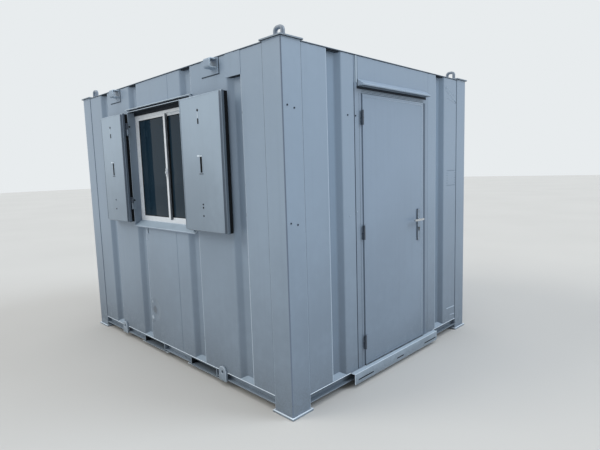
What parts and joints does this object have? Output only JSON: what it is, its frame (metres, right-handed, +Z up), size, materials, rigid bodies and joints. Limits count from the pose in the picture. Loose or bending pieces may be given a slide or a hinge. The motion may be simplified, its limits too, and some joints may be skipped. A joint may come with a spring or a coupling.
{
  "type": "portable site cabin",
  "caption": "Portable steel site cabin with grooved walls, a shuttered sliding window, a steel door with a lever, fork pockets and lifting eyes.",
  "frame": {"origin": "on the ground, under the centre of the cabin's overall box", "axes": "+X out of the door end, -Y out of the window wall, +Z up"},
  "size_m": [3.116, 2.586, 2.523],
  "materials": {
    "cabin_paint": "blue-grey gloss paint, weathered and scuffed",
    "rail_paint": "blue-grey paint with splashed dirt",
    "roof_paint": "pale grey-blue paint, dusty",
    "reveal_paint": "grey paint on folded steel",
    "shutter_paint": "blue-grey paint on pressed steel",
    "hinge_paint": "dark blue-grey paint over steel, worn at the joint",
    "door_frame_paint": "dark blue-grey paint",
    "door_paint": "blue-grey paint, smooth",
    "timber": "rough sawn softwood",
    "deck_board": "sealed plywood",
    "lining": "off-white faced board",
    "window_profile": "white window profile",
    "glazing": "clear float glass",
    "handle_metal": "satin aluminium",
    "lock_brass": "worn brass"
  },
  "bodies": {
    "cabin": {"corner_posts": "cabin_paint", "foot_plates": "cabin_paint", "cap_plates": "cabin_paint", "lifting_eyes": "cabin_paint", "long_rails": "rail_paint", "end_rails": "rail_paint", "fork_pockets": "rail_paint", "floor_joists": "timber", "floor_deck": "deck_board", "front_wall_below": "cabin_paint", "front_wall_beside": "cabin_paint", "front_wall_above": "cabin_paint", "back_wall": "cabin_paint", "far_end_wall": "cabin_paint", "door_wall_beside": "cabin_paint", "door_wall_above": "cabin_paint", "linings_long": "lining", "linings_end": "lining", "ceiling": "lining", "roof_beams": "timber", "roof_sheet": "roof_paint", "groove_caps": "cabin_paint", "groove_cover": "cabin_paint", "window_sill": "cabin_paint", "window_reveal": "reveal_paint", "window_drip": "cabin_paint", "window_frame": "window_profile", "sash_outer": "window_profile", "sash_inner": "window_profile", "window_glass": "glazing", "shutter_hinges": "hinge_paint", "door_frame": "door_frame_paint", "door_hinges": "hinge_paint", "door_hood": "cabin_paint", "threshold": "rail_paint", "rail_lugs": "rail_paint", "bracket_plates": "cabin_paint", "wall_loops": "cabin_paint"},
    "door": {"door_leaf": "door_paint", "door_knuckles": "hinge_paint", "handle_plates": "handle_metal", "lock_cylinder": "lock_brass"},
    "lever": {"door_lever": "handle_metal"},
    "left_shutter": {"shutter_left": "shutter_paint", "shutter_knuckle_left": "hinge_paint"},
    "right_shutter": {"shutter_right": "shutter_paint", "shutter_knuckle_right": "hinge_paint"}
  },
  "joints": [
    {"name": "door_hinge", "type": "hinge", "parent": "cabin", "child": "door", "pos_m": [1.514, -0.425, 1.15], "axis": [0, 0, -1], "range_deg": [0, 120]},
    {"name": "door_lever_turn", "type": "hinge", "parent": "door", "child": "lever", "pos_m": [1.502, 0.36, 1.178], "axis": [1, 0, 0], "range_deg": [0, 45], "stiffness_Nm_per_rad": 1.5, "springref_deg": -34.38},
    {"name": "left_shutter_hinge", "type": "hinge", "parent": "cabin", "child": "left_shutter", "pos_m": [-0.509, -1.237, 1.687], "axis": [0, 0, 1], "range_deg": [0, 180]},
    {"name": "right_shutter_hinge", "type": "hinge", "parent": "cabin", "child": "right_shutter", "pos_m": [0.465, -1.237, 1.687], "axis": [0, 0, -1], "range_deg": [0, 180]}
  ]
}
